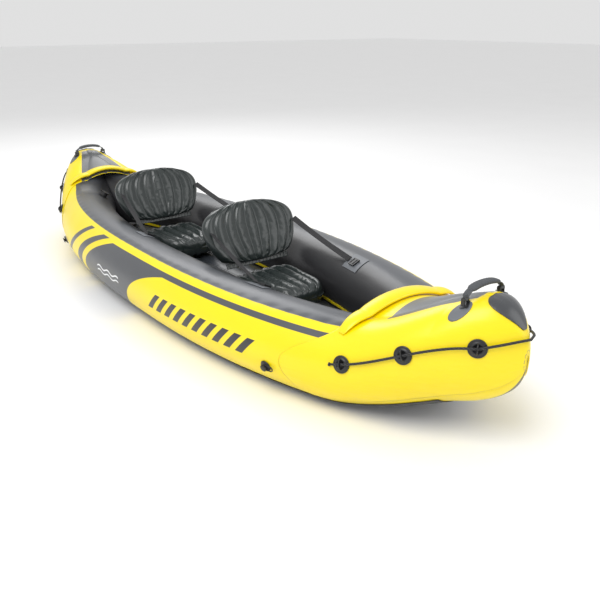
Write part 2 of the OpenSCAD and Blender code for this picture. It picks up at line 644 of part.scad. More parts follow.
module on_back_rear(seat_x) {
    on_backrest(seat_x) translate([back_foot + back_h * 0.3, 0, back_t / 2 + gap])
        rotate([0, 0, -90]) children();
}
module seat_colour() { color([0.10, 0.10, 0.11]) children(); }
module front_cushion_valve() { seat_colour() on_cushion_rear(front_seat_x) seat_valve(); }
module front_cushion_plug() { seat_colour() on_cushion_rear(front_seat_x) seat_plug(); }
module rear_cushion_valve() { seat_colour() on_cushion_rear(rear_seat_x) seat_valve(); }
module rear_cushion_plug() { seat_colour() on_cushion_rear(rear_seat_x) seat_plug(); }
module front_backrest_valve() { seat_colour() on_back_rear(front_seat_x) seat_valve(); }
module front_backrest_plug() { seat_colour() on_back_rear(front_seat_x) seat_plug(); }
module rear_backrest_valve() { seat_colour() on_back_rear(rear_seat_x) seat_valve(); }
module rear_backrest_plug() { seat_colour() on_back_rear(rear_seat_x) seat_plug(); }

// ---- Skeg bracket under the stern ----
bracket_x = 1215;
bracket_l = 110;
bracket_w = 34;
bracket_t = 4;
rail_h = 14;
slot_w = 7;
module skeg_bracket() {
    step = bracket_l / 2;
    low = mid_z(bracket_x) - sec_z(bracket_x);
    tilt = atan((mid_z(bracket_x + step) - sec_z(bracket_x + step) - mid_z(bracket_x - step)
        + sec_z(bracket_x - step)) / bracket_l);
    color([0.10, 0.10, 0.11]) to_stern() translate([bracket_x, 0, low - gap * 2 - skin_t - 1.5])
        rotate([0, -tilt, 0]) {
            translate([-step, -bracket_w / 2, -bracket_t]) cube([bracket_l, bracket_w, bracket_t]);
            for (side = [-1, 1]) translate([-step, side * (slot_w + 6) / 2 - 3, -bracket_t - rail_h])
                cube([bracket_l, 6, rail_h + 1]);
        }
}

port_side_tube();
starboard_side_tube();
inflatable_floor();
bottom_skin();
floor_seam_strips();
bow_spray_cover();
stern_spray_cover();
bow_coaming_roll();
stern_coaming_roll();
bow_tip_cap();
stern_tip_cap();
bow_grab_line();
stern_grab_line();
bow_line_knots();
stern_line_knots();
bow_rope_rings();
stern_rope_rings();
cover_tie_hooks();
cover_tie_loops();
bow_handle_patches();
bow_handle_anchors();
bow_handle_strap();
bow_handle_sleeve();
stern_handle_patches();
stern_handle_anchors();
stern_handle_strap();
stern_handle_sleeve();
front_cushion();
front_backrest();
rear_cushion();
rear_backrest();
front_port_strap();
front_starboard_strap();
rear_port_strap();
rear_starboard_strap();
strap_patches();
strap_buckles();
port_valve();
port_valve_cap();
starboard_valve();
starboard_valve_cap();
floor_valve();
floor_valve_cap();
front_cushion_valve();
front_cushion_plug();
rear_cushion_valve();
rear_cushion_plug();
front_backrest_valve();
front_backrest_plug();
rear_backrest_valve();
rear_backrest_plug();
skeg_bracket();
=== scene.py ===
"""Two-seat inflatable kayak: the looks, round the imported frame. Metres, +X bow, +Y port, +Z up."""

import bmesh
import bpy
import numpy as np
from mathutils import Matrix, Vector


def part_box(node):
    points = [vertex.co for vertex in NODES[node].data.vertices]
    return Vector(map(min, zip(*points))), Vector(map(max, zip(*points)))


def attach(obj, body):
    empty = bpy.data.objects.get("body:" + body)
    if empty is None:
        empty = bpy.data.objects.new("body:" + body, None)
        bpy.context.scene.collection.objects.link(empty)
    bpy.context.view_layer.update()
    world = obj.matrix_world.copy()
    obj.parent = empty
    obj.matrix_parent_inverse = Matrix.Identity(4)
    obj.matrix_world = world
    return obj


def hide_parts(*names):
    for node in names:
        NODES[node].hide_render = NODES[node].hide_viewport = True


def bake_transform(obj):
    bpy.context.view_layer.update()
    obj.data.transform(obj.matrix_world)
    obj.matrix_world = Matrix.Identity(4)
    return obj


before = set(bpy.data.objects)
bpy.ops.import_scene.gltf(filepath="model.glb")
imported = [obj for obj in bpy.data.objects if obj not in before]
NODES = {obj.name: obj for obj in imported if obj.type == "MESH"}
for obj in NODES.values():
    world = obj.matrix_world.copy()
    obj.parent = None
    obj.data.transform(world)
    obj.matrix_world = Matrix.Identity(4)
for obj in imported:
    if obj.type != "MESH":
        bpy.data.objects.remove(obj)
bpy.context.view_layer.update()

TAU = 2 * np.pi

# ---- The hull's driving sizes, as the frame has them ----
TIP_SHARE = 0.9996          # how far along the half length the tubes' surfaces go
HALF_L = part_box("port_side_tube")[1][0] / TIP_SHARE
HALF_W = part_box("port_side_tube")[1][1]
TUBE_R = 0.141
BASE_Z = 0.0021
ROCKER = 0.142
STEM_DEPTH = 0.14
NOSE_L = 0.16
FULLNESS = (2.45, 0.75)
GAP = 0.0006
COVER_OUT = 0.0018
BOW_EDGE = 1.06
STERN_EDGE = 1.17
ROPE_R = 0.0038
ROPE_ANGLE = 14.0
RING_GAPS = (0.421, 0.254, 0.089)
HANDLE_X = HALF_L - 0.163
HANDLE_HALF = 0.075
HANDLE_RISE = 0.032
DECK_CROWN = 0.030
COAMING_R = 0.018


def smooth(a, b, v):
    """0 below a, 1 above b, and s squared times (3 - 2s) between."""
    s = np.clip((v - a) / (b - a), 0, 1)
    return s * s * (3 - 2 * s)


def bump(v, centre, width):
    """Bell curve: e to the minus square of the distance over width."""
    return np.exp(-((v - centre) / width) ** 2)


def ripple(a, b, seed):
    """Sum of six crossed sine waves of rising frequency, from -1 to 1, the same for the same seed."""
    draw = np.random.default_rng(seed)
    total = np.zeros(np.broadcast(a, b).shape)
    for k in range(6):
        fa, fb, start = draw.uniform(0.5, 1.5) * 1.5**k, draw.uniform(-1, 1) * 1.5**k, draw.uniform(0, TAU)
        total += np.sin(TAU * (fa * a + fb * b) + start) / 1.3**k
    return total / 3.2


# ---- The hull's shape ----
def section(x):
    """Centre and half sizes of a side tube's ellipse at x: the plan edge is (1 - share^p)^q of the half
    beam."""
    p, q = FULLNESS
    share = np.minimum(np.abs(x) / HALF_L, TIP_SHARE)
    edge = HALF_W * (1 - share**p) ** q
    slope = HALF_W / HALF_L * p * q * share ** (p - 1) * (1 - share**p) ** (q - 1)
    wide = np.minimum(TUBE_R * np.sqrt(1 + slope**2), 0.9 * edge)
    nose = np.maximum(0, (share * HALF_L - HALF_L + NOSE_L) / NOSE_L)
    tall = TUBE_R * (1 + STEM_DEPTH * smooth(HALF_L - 0.44, HALF_L - 0.2, np.abs(x))) * np.sqrt(1 - nose**2)
    rise = ROCKER * smooth(HALF_L - 0.56, HALF_L - 0.06, np.abs(x)) ** 1.3
    return edge - wide, wide, BASE_Z + TUBE_R + rise, tall


def on_tube(x, angle, off=0.0):
    """Point on the port tube, angle in degrees above its widest line, off outside it."""
    x, angle, off = np.broadcast_arrays(np.asarray(x, float), np.asarray(angle, float), off)
    mid, wide, high, tall = section(x)
    a = np.radians(angle)
    share = np.minimum(np.abs(x) / HALF_L, TIP_SHARE)
    return np.stack([x + np.sign(x) * off * share**6,
                     np.maximum(GAP / 2, mid + (wide + off) * np.cos(a)), high + (tall + off) * np.sin(a)], -1)


def deck_z(x, y, off=0.0):
    """Height over the hull: a parabola between the tubes' middles, the tube's ellipse outside them."""
    mid, wide, high, tall = section(x)
    y = np.abs(y)
    crown = DECK_CROWN * np.minimum(1, mid / 0.13)
    inside = high + tall + off + crown * (1 - (y / np.maximum(mid, 1e-6)) ** 2)
    out = high + (tall + off) * np.sqrt(np.clip(1 - ((y - mid) / (wide + off)) ** 2, 0, 1))
    return np.where(y < mid, inside, out)


def mirrored(points, axis):
    """The same points on the other side of the plane across axis."""
    turned = points.copy()
    turned[..., axis] *= -1
    return turned


# ---- Meshes ----
def grid_faces(rows, cols, round_rows=False, round_cols=False):
    """Quads of a grid of rows by cols points, closed onto itself where it is round."""
    i = np.arange(rows if round_rows else rows - 1)[:, None]
    j = np.arange(cols if round_cols else cols - 1)[None, :]
    a, b = i * cols + j, ((i + 1) % rows) * cols + j
    c, d = ((i + 1) % rows) * cols + (j + 1) % cols, i * cols + (j + 1) % cols
    return np.stack([a, b, c, d], -1).reshape(-1, 4)


def surface(points, round_rows=False, round_cols=False, capped=False):
    """One patch: its points as a grid, its faces, and fans that close the two ends of a round-column grid."""
    rows, cols = points.shape[:2]
    flat = points.reshape(-1, 3)
    faces = grid_faces(rows, cols, round_rows, round_cols)
    if not capped:
        return flat, faces
    ends = np.stack([points[0].mean(0), points[-1].mean(0)])
    j = np.arange(cols)
    first = np.stack([j, (j + 1) % cols, np.full(cols, len(flat)), np.full(cols, len(flat))], -1)
    last = np.stack([(j + 1) % cols, j, j * 0 + len(flat) + 1, j * 0 + len(flat) + 1], -1)
    last[:, :2] += (rows - 1) * cols
    return np.concatenate([flat, ends]), np.concatenate([faces, first, last])


def piece(name, patches, material, body="hull", replaces=(), attributes=None, finish=True):
    """Makes one object of all the patches, outward and smooth, rides it and hides the frame's parts it stands
    for.
    """
    start, points, faces = 0, [], []
    for p, f in patches:
        points.append(p)
        faces.append(f + start)
        start += len(p)
    points, faces = np.concatenate(points), np.concatenate(faces)
    shapes = [tuple(dict.fromkeys(f)) for f in faces.tolist()]
    mesh = bpy.data.meshes.new(name)
    mesh.from_pydata(points.tolist(), [], [f for f in shapes if len(f) > 2])
    for key, values in (attributes or {}).items():
        layer = mesh.attributes.new(key, "FLOAT", "POINT")
        full = np.zeros(len(points), np.float32)
        full[: len(values)] = values
        layer.data.foreach_set("value", full)
    obj = bpy.data.objects.new(name, mesh)
    bpy.context.scene.collection.objects.link(obj)
    outward(mesh)
    mesh.polygons.foreach_set("use_smooth", np.ones(len(mesh.polygons), bool))
    mesh.materials.append(material)
    if replaces:
        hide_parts(*replaces)
    if finish:
        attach(obj, body)
    return obj


def outward(mesh):
    """Turns every shell's faces outwards."""
    b = bmesh.new()
    b.from_mesh(mesh)
    bmesh.ops.remove_doubles(b, verts=b.verts, dist=1e-6)
    bmesh.ops.dissolve_degenerate(b, edges=b.edges, dist=1e-7)
    bmesh.ops.recalc_face_normals(b, faces=b.faces)
    b.to_mesh(mesh)
    b.free()


def unit(v):
    """v over its length, along the last axis."""
    return v / np.maximum(np.linalg.norm(v, axis=-1, keepdims=True), 1e-12)


def sweep(path, profile, up, closed=False):
    """Carries a profile of (side, up) points along a path; up is where the profile's second axis leans to."""
    path = np.asarray(path, float)
    ahead = np.roll(path, -1, 0) - np.roll(path, 1, 0)
    if not closed:
        ahead[0], ahead[-1] = path[1] - path[0], path[-1] - path[-2]
    ahead = unit(ahead)
    side = unit(np.cross(ahead, np.broadcast_to(up, path.shape)))
    rise = np.cross(side, ahead)
    profile = np.asarray(profile, float)
    if profile.ndim == 2:
        profile = np.broadcast_to(profile, (len(path),) + profile.shape)
    points = path[:, None] + profile[..., :1] * side[:, None] + profile[..., 1:] * rise[:, None]
    return surface(points, round_rows=closed, round_cols=True, capped=not closed)


def circle(r, count=16):
    """Points of a circle."""
    a = np.linspace(0, TAU, count, endpoint=False)
    return np.stack([r * np.cos(a), r * np.sin(a)], -1)


def slab(wide, thick, power=0.35, count=24):
    """Superellipse: a flat bar's section with rounded edges."""
    a = np.linspace(0, TAU, count, endpoint=False)
    c, s = np.cos(a), np.sin(a)
    return np.stack([wide / 2 * np.sign(c) * abs(c) ** power, thick / 2 * np.sign(s) * abs(s) ** power], -1)


def turned(profile, place, count=40):
    """Revolves (radius, height) points about the local z of a 4x4 place."""
    a = np.linspace(0, TAU, count, endpoint=False)
    r, h = np.asarray(profile, float).T
    height = np.broadcast_to(h[:, None], (len(r), count))
    local = np.stack([r[:, None] * np.cos(a), r[:, None] * np.sin(a), height], -1)
    return surface(local @ place[:3, :3].T + place[:3, 3], round_cols=True, capped=True)


def seat_on(x, angle, off, side=1):
    """4x4 place on a tube, z straight out and x along it."""
    d = 0.002
    at = on_tube(x, angle, off)
    along = unit(on_tube(x + d, angle, off) - on_tube(x - d, angle, off))
    round_ = unit(on_tube(x, angle + 1, off) - on_tube(x, angle - 1, off))
    out = unit(np.cross(round_, along))
    place = np.eye(4)
    place[:3, 0], place[:3, 1], place[:3, 2], place[:3, 3] = along, np.cross(out, along), out, at
    if side < 0:
        place[1] *= -1
    return place


def sheet_patch(outer, inner):
    """Closed thin sheet: the outer rows, then the inner rows backwards, as rings along the first axis."""
    return surface(np.concatenate([outer, inner[:, ::-1]], 1), round_cols=True, capped=False)


def sheet_ends(outer, inner):
    """The two end strips that close such a sheet."""
    return [surface(np.stack([outer[k], inner[k]])) for k in (0, -1)]


# ---- Materials ----
def math_method(operation):
    """A method of Value that adds one Math node of that operation."""
    def add_node(self, *others):
        return self.paint.node("Math", {"operation": operation}, dict(enumerate((self,) + others)))
    return add_node


class Value:
    """A socket of numbers; an expression on it adds its Math nodes."""

    __add__ = __radd__ = math_method("ADD")
    __mul__ = __rmul__ = math_method("MULTIPLY")
    __sub__ = math_method("SUBTRACT")
    __truediv__ = math_method("DIVIDE")
    power = math_method("POWER")
    sine = math_method("SINE")
    part = math_method("FRACT")
    size = math_method("ABSOLUTE")
    least = math_method("MINIMUM")
    most = math_method("MAXIMUM")

    def __init__(self, paint, socket):
        self.paint = paint
        self.socket = socket

    def __rsub__(self, other):
        return self * -1.0 + other

    def clip(self):
        """Held between 0 and 1."""
        return self.most(0.0).least(1.0)

    def below(self, limit, soft):
        """1 below the limit and 0 above it, with a step that is soft wide."""
        return ((limit - self) / soft + 0.5).clip()

    def above(self, limit, soft):
        """1 above the limit and 0 below it."""
        return 1.0 - self.below(limit, soft)


class Paint:
    """A material being made, with its Principled shader."""

    def __init__(self, name, rough=0.5, metal=0.0, coat=0.0, coat_rough=0.1, sheen=0.0):
        self.material = bpy.data.materials.new(name)
        self.material.use_nodes = True
        self.tree = self.material.node_tree
        self.shader = self.tree.nodes["Principled BSDF"]
        self.shader.inputs["Metallic"].default_value = metal
        self.shader.inputs["Coat Weight"].default_value = coat
        self.shader.inputs["Coat Roughness"].default_value = coat_rough
        self.shader.inputs["Sheen Weight"].default_value = sheen
        self.shader.inputs["Roughness"].default_value = rough
        self.place = self.node("TexCoord", {}, {}, "Object")

    def node(self, kind, settings, values, output=0):
        """Any node: its type, its settings, then its sockets' values or links. Gives one output."""
        made = self.tree.nodes.new("ShaderNode" + kind)
        for key, value in settings.items():
            setattr(made, key, value)
        for key, value in values.items():
            if isinstance(value, Value):
                self.tree.links.new(value.socket, made.inputs[key])
            else:
                made.inputs[key].default_value = value
        return Value(self, made.outputs[output])

    def noise(self, scale, detail=4.0, stretch=(1, 1, 1), rough=0.55):
        """Fractal noise over the piece's own coordinates."""
        at = self.node("Mapping", {}, {"Vector": self.place, "Scale": stretch})
        return self.node("TexNoise", {}, {"Vector": at, "Scale": scale, "Detail": detail, "Roughness": rough})

    def own(self, name):
        """The piece's own attribute."""
        return self.node("Attribute", {"attribute_name": name}, {}, "Fac")

    def blend(self, share, a, b):
        """Colour a where share is 0 and b where it is 1."""
        return self.node("Mix", {"data_type": "RGBA"}, {0: share, 6: a, 7: b}, 2)

    def set(self, **links):
        """Links values to the shader's sockets."""
        for key, value in links.items():
            self.tree.links.new(value.socket, self.shader.inputs[key.replace("_", " ")])
        return self

    def relief(self, height, depth, strength=1.0):
        """Bump of that depth in metres."""
        normal = self.node("Bump", {}, {"Height": height, "Distance": depth, "Strength": strength})
        return self.set(Normal=normal)


YELLOW = (0.93, 0.73, 0.0, 1)
YELLOW_WORN = (0.86, 0.64, 0.0, 1)
CHARCOAL = (0.075, 0.079, 0.086, 1)
INSIDE = (0.060, 0.064, 0.072, 1)
FLOOR = (0.030, 0.035, 0.042, 1)
BAR_GREY = (0.030, 0.030, 0.034, 1)
PALE = (0.78, 0.79, 0.80, 1)
INSIDE_PALE = (0.085, 0.092, 0.105, 1)
# painted shade: the darker grey laid over the tubes' inner faces
INSIDE_PAINTED_SHADE = (0.022, 0.022, 0.024, 1)
UNDERSIDE = (0.05, 0.052, 0.055, 1)
DECK_GREY = (0.12, 0.125, 0.13, 1)


def vinyl(name, colour, worn, rough=0.36, coat=0.18):
    """Calendered vinyl: fine grain, slow waves from inflation, slightly uneven gloss."""
    p = Paint(name, rough, coat=coat, coat_rough=0.22)
    cloud = p.noise(5.0, 3.0)
    fine = p.noise(900.0, 2.0)
    wave = p.noise(9.0, 2.0, (1.0, 3.0, 3.0))
    p.set(Base_Color=p.blend((cloud - 0.35).clip() * 0.8, colour, worn),
          Roughness=cloud * 0.16 + (rough - 0.08))
    p.relief(fine * 0.05 + wave, 0.0012, 0.35)
    return p.material


TOP_SEAM = 65.5             # degrees round the tube: where the yellow side meets the grey inner face
GUNWALE_STRIPE = 52.5       # the panel's upper edge, with a yellow stripe above it
FIELD_TOP = 43.5            # the yellow field's upper edge
BARS = (0.232, 0.80)        # from aft to fore, in metres along the hull
BAR_PITCH = 0.058
BAR_SLANT = 0.0022          # metres along for each degree up
WAVES = (-0.27, -0.05)


def printed_sides():
    """The side tubes' print, in metres along the hull and degrees round the tube: a yellow side with two grey
    crescents aft, a charcoal panel, a long yellow field with a row of slanted bars, and the grey inner face,
    with painted shade darkening it past about 112 degrees round the tube."""
    p = Paint("printed_side_vinyl", 0.36, coat=0.16, coat_rough=0.22)
    x, turn = p.own("along"), p.own("angle")
    down = 58.0 - turn
    first = x - (-0.47 - down * 0.0035)
    second = x - (-0.29 - down * 0.0055 + down * down * 0.00003)
    arch = -0.17 - down * 0.0065 + down * down * 0.000037
    under_top = turn.below(57.0, 0.6)
    crescents = first.size().below(0.024, 0.003).most(second.size().below(0.034, 0.003)) * under_top
    panel = (x - arch).above(0.0, 0.003) * turn.below(GUNWALE_STRIPE, 0.5)
    lift = (turn + 25.0) / 67.0
    start = 0.006 + lift.most(0.0).power(3.0) * 0.17 + lift * 0.075
    field = (x - start).above(0.0, 0.003) * turn.below(FIELD_TOP, 0.5)
    grey = crescents.most(panel * (1.0 - field))
    # a row of slanted bars along the yellow field, each leaning to the bow
    row = (turn - 3.0).size().below(12.5, 0.5)
    slant = x - turn * BAR_SLANT
    row = row * slant.above(BARS[0], 0.0005) * slant.below(BARS[1], 0.0005)
    bars = (slant / BAR_PITCH).part().below(0.56, 0.04) * row
    # two short waves on the panel
    swell = (x * 70.0).sine() * 2.2
    upper = ((turn - 4.0) - swell).size().below(1.3, 0.4)
    lower = ((turn + 3.5) - swell).size().below(1.3, 0.4)
    waves = upper.most(lower) * x.above(WAVES[0], 0.002) * x.below(WAVES[1], 0.002)
    cloud = p.noise(5.0, 3.0)
    fine = p.noise(900.0, 2.0)
    wave = p.noise(8.0, 2.0, (1.0, 3.0, 3.0))
    side = p.blend((cloud - 0.35).clip() * 0.8, YELLOW, YELLOW_WORN)
    side = p.blend(grey, side, CHARCOAL)
    side = p.blend(bars, side, BAR_GREY)
    side = p.blend(waves, side, PALE)
    inner = p.blend(cloud, INSIDE, INSIDE_PALE)
    # painted shade: the inner face darkens from about 101 to 123 degrees round the tube and stays dark beyond
    inner = p.blend(turn.above(112.0, 22.0), inner, INSIDE_PAINTED_SHADE)
    both = p.blend(turn.above(TOP_SEAM, 0.5), side, inner)
    both = p.blend(turn.below(-78.0, 0.8), both, UNDERSIDE)
    seam = (turn - TOP_SEAM).size().below(1.0, 0.8)
    p.set(Base_Color=both, Roughness=cloud * 0.16 + 0.28)
    p.relief(fine * 0.05 + wave + seam * 0.8, 0.0012, 0.4)
    return p.material


def cover_vinyl():
    """The spray covers: yellow, a grey triangle on the deck past the roll, creases fanning along the hem."""
    p = Paint("cover_vinyl", 0.36, coat=0.18, coat_rough=0.22)
    x, turn, y = p.own("along"), p.own("angle"), p.own("across")
    reach = 0.150 - (x - 1.165) * 0.45
    edge = x - y * y * 0.6
    grey = (y - reach).below(0.0, 0.002) * edge.above(1.158, 0.002) * x.below(1.405, 0.003)
    cloud = p.noise(5.0, 3.0)
    fine = p.noise(900.0, 2.0)
    crease = p.noise(7.0, 3.0, (0.7, 2.0, 7.0))
    low = turn.below(0.0, 40.0)
    colour = p.blend((cloud - 0.35).clip() * 0.8, YELLOW, YELLOW_WORN)
    p.set(Base_Color=p.blend(grey, colour, DECK_GREY), Roughness=cloud * 0.16 + 0.28)
    p.relief(fine * 0.04 + crease * (low * 1.6 + 0.5), 0.003, 0.45)
    return p.material


def seat_vinyl():
    """Glossy dark green-grey film, crazed with small wrinkles that are denser near the rims."""
    p = Paint("seat_vinyl", 0.27, coat=0.35, coat_rough=0.14)
    rim = p.own("rim")
    cloud = p.noise(14.0, 3.0)
    crackle = p.noise(60.0, 4.0, rough=0.55)
    ribs = p.noise(18.0, 2.0, (1.0, 2.5, 0.6))
    p.set(Base_Color=p.blend(cloud, (0.011, 0.017, 0.0165, 1), (0.021, 0.029, 0.028, 1)),
          Roughness=crackle * 0.10 + 0.24)
    p.relief(crackle * (rim * 0.7 + 0.03) + ribs * 0.35, 0.004, 0.4)
    return p.material


def twisted_rope():
    """Rope strands that wind round the length."""
    p = Paint("black_rope", 0.72, sheen=0.1)
    strand = ((p.own("along") * 520.0 + p.own("turn") * 3.0).sine() * 0.5 + 0.5)
    p.set(Base_Color=p.blend(strand, (0.008, 0.008, 0.009, 1), (0.035, 0.035, 0.038, 1)))
    p.relief(strand, 0.0012, 0.9)
    return p.material


def webbing(name, dark, light, axis):
    """Woven webbing: ribs across a band that runs along an axis, with a finer cross thread."""
    p = Paint(name, 0.8)
    split = p.node("SeparateXYZ", {}, {0: p.place}, axis)
    rib = (split * 2100.0).sine() * 0.5 + 0.5
    thread = p.noise(700.0, 2.0)
    p.set(Base_Color=p.blend(rib * 0.6 + thread * 0.4, dark, light), Roughness=thread * 0.2 + 0.66)
    p.relief(rib * 0.7 + thread * 0.5, 0.0008, 0.8)
    return p.material


def moulded(name, dark, light, rough=0.42):
    """Moulded plastic with a fine spark-eroded grain."""
    p = Paint(name, rough)
    grain = p.noise(1300.0, 2.0)
    cloud = p.noise(30.0, 2.0)
    p.set(Base_Color=p.blend(cloud, dark, light), Roughness=grain * 0.2 + (rough - 0.1))
    p.relief(grain, 0.0003, 0.5)
    return p.material


SIDES = printed_sides()
COVER = cover_vinyl()
ROLL = vinyl("roll_vinyl", YELLOW, YELLOW_WORN)
FLOOR_VINYL = vinyl("floor_vinyl", FLOOR, (0.045, 0.050, 0.058, 1), 0.36)
BOTTOM = vinyl("bottom_vinyl", (0.045, 0.047, 0.05, 1), (0.07, 0.073, 0.078, 1), 0.5, 0.05)
CAP = vinyl("cap_vinyl", (0.040, 0.043, 0.048, 1), (0.062, 0.066, 0.072, 1), 0.26, 0.4)
PATCH = vinyl("patch_vinyl", (0.13, 0.14, 0.155, 1), (0.17, 0.18, 0.20, 1), 0.45, 0.05)
SEAT = seat_vinyl()
ROPE = twisted_rope()
BLACK_WEB = webbing("black_webbing", (0.006, 0.006, 0.007, 1), (0.030, 0.030, 0.033, 1), 0)
GREY_WEB = webbing("grey_webbing", (0.045, 0.049, 0.054, 1), (0.10, 0.106, 0.115, 1), 1)
BLACK_PLASTIC = moulded("black_plastic", (0.008, 0.008, 0.009, 1), (0.020, 0.020, 0.022, 1), 0.35)
VALVE_PLASTIC = moulded("valve_plastic", (0.012, 0.012, 0.013, 1), (0.028, 0.028, 0.030, 1), 0.45)


# ---- Hull ----
def side_tube(side, name):
    """Grid of stations by angles on the tube's ellipse, drawn in by shallow pinches along the welded seam."""
    x = HALF_L * TIP_SHARE * np.sin(np.linspace(-np.pi / 2, np.pi / 2, 361))[:, None]
    angle = np.linspace(-90, 270, 120, endpoint=False)[None, :]
    pinch = 0.0016 * bump(angle, 68, 5) * (0.5 + 0.5 * np.sin(x * 95 + ripple(x, x * 0, 3) * 3)) ** 2
    soft = 0.0006 * (1 + ripple(x * 1.2, angle / 90, 5))
    points = on_tube(x, angle, -(pinch + soft) * smooth(HALF_L, HALF_L - 0.25, np.abs(x)))
    if side < 0:
        points = mirrored(points, 1)
    shape = np.broadcast(x, angle).shape
    return piece(name + "_skin", [surface(points, round_cols=True, capped=True)], SIDES, replaces=[name],
                 attributes={"along": np.broadcast_to(x, shape).ravel(),
                                                "angle": np.broadcast_to(angle, shape).ravel()})


def floor():
    """Floor between the tubes: five lengthwise beams, root of a sine across, and a rounded end."""
    x = np.linspace(-0.955, 0.955, 240)[:, None]
    mid, wide, high, tall = section(x)
    a = np.radians(202.5)
    half = mid + (wide + GAP) * np.cos(a)
    edge = high + (tall + GAP) * np.sin(a)
    s = np.linspace(0, 1, 121)[None, :]
    fall = smooth(0.955, 0.90, np.abs(x))
    top = edge + 0.008 * np.sqrt(np.abs(np.sin(5 * np.pi * s))) * fall
    top = top - 0.0006 * (1 + ripple(x * 6, s * 6, 8)) * fall
    upper = np.stack([np.broadcast_to(x, top.shape), half * (1 - 2 * s), top], -1)
    low = np.linspace(202.5, 258.75, 12)[None, :]
    wall = np.stack([np.broadcast_to(x, (240, 12)), mid + (wide + GAP) * np.cos(np.radians(low)),
                     high + (tall + GAP) * np.sin(np.radians(low))], -1)
    ring = np.concatenate([upper, mirrored(wall, 1), wall[:, ::-1]], 1)
    return piece("floor_beams", [surface(ring, round_cols=True, capped=True)], FLOOR_VINYL,
                 replaces=["inflatable_floor"])


def bottom():
    """Bottom sheet: round each tube's underside and flat between, 1.5 mm thick."""
    x = np.linspace(-HALF_L + 0.20, HALF_L - 0.20, 200)[:, None]
    turn = np.linspace(-90 + 33.75, -90, 14)[None, :]
    faces = []
    for off in (GAP + 0.0015, GAP):
        wrap = on_tube(x, turn, off)
        middle = np.stack([x[:, 0], x[:, 0] * 0, wrap[:, -1, 2]], -1)[:, None]
        faces.append(np.concatenate([mirrored(wrap, 1), middle, wrap[:, ::-1]], 1))
    return piece("bottom_sheet", [sheet_patch(*faces)] + sheet_ends(*faces), BOTTOM, replaces=["bottom_skin"])


def cover(end, edge_x, name):
    """Spray cover: from a hem at 45 degrees below the tube's widest line, over the deck, to the other hem. Its
    open edge sweeps towards amidships as it goes down the tube, which makes the corner flap."""
    turn = np.linspace(-45, 90, 55)
    flap = 0.138 * smooth(62, 2, turn) * (1 - 0.30 * smooth(-2, -42, turn))
    deck = np.linspace(1, 0, 13)[1:]
    u = np.linspace(0, 1, 150)[:, None] ** 0.9
    stop = HALF_L * TIP_SHARE
    layers = []
    for off in (COVER_OUT, GAP):
        x = edge_x - flap + (stop - edge_x + flap) * u
        fold = 0.0012 * (1 + ripple(x * 9, turn[None, :] / 60, 21)) * smooth(5, -40, turn)[None, :]
        tube = on_tube(x, turn, off + fold * smooth(0, 0.1, u) * smooth(1.0, 0.9, u))
        mid = section(edge_x + (stop - edge_x) * u)[0]
        yd = mid * deck[None, :]
        xd = np.broadcast_to(edge_x + (stop - edge_x) * u, yd.shape)
        over = np.stack([np.broadcast_to(tube[:, -1:, 0], yd.shape), yd, deck_z(xd, yd, off)], -1)
        half = np.concatenate([tube, over], 1)
        layers.append(np.concatenate([half, mirrored(half[:, :-1], 1)[:, ::-1]], 1))
    outer, inner = layers
    ring = np.concatenate([outer, inner[:, ::-1]], 1)
    one_way = np.concatenate([turn, np.full(2 * len(deck) - 1, 90.0), turn[::-1]])
    angles = np.broadcast_to(np.concatenate([one_way, one_way[::-1]]), ring.shape[:2])
    attributes = {"along": ring[..., 0].ravel(), "across": np.abs(ring[..., 1]).ravel(),
                  "angle": angles.ravel()}
    if end < 0:
        ring, outer, inner = (mirrored(v, 0) for v in (ring, outer, inner))
    return piece(name + "_sheet", [surface(ring, round_cols=True)] + sheet_ends(outer, inner), COVER,
                 replaces=[name], attributes=attributes)


def coaming(end, edge_x, name):
    """Low soft roll across the deck: flattened rings along y that sink into the cover at both ends."""
    r, broad = COAMING_R, 0.030
    x = edge_x + broad - 0.004
    mid, wide, _, _ = section(x)
    reach = mid + wide * 0.62
    y = np.linspace(-reach, reach, 110)[:, None]
    t = np.abs(y) / reach
    a = np.linspace(0, TAU, 36, endpoint=False)[None, :]
    size = r * np.clip(1 - t**3.5, 0, 1) ** 0.6 * (1 + 0.03 * ripple(y * 5, a * 0, 31))
    px = x + (0.35 * r + 0.65 * size) / r * broad * np.sin(a)
    base = deck_z(px, y, COVER_OUT + 2 * GAP)
    z = np.maximum(base, deck_z(x + 0 * px, y) + 0.0048 + size * (0.62 + 0.2 * t**2) * (1 + np.cos(a)))
    points = np.stack([px, np.broadcast_to(y, px.shape), z], -1)
    if end < 0:
        points = mirrored(points, 0)
    return piece(name + "_soft", [surface(points, round_cols=True, capped=True)], ROLL, replaces=[name])


def tip_cap(end, name):
    """Oval wear cap on the tip: an ellipse over x and the angle, 52 mm long each way and 25 degrees down."""
    centre, reach = HALF_L - 0.074, 0.052
    x = centre + reach * np.sin(np.linspace(-np.pi / 2, np.pi / 2, 40) * 0.995)[:, None]
    start = 90 - 25 * np.sqrt(1 - ((x - centre) / reach) ** 2)
    s = np.linspace(0, 1, 24)[None, :]
    layers = []
    for off in (COVER_OUT + GAP + 0.0022, COVER_OUT + GAP):
        half = on_tube(x, start + (90 - start) * s, off)
        half[:, -1, 1] = 0
        half[:, -1, 2] = deck_z(x, x * 0, off)[:, 0]
        layers.append(np.concatenate([half, mirrored(half[:, :-1], 1)[:, ::-1]], 1))
    if end < 0:
        layers = [mirrored(v, 0) for v in layers]
    return piece(name + "_patch", [sheet_patch(*layers)] + sheet_ends(*layers), CAP, replaces=[name])


# ---- Grab lines and cover ties ----
ROPE_OFF = COVER_OUT + 2 * GAP + 0.0025 + GAP + ROPE_R
NOSE_X = HALF_L - 0.015
NOSE_Z = BASE_Z + TUBE_R + 0.206


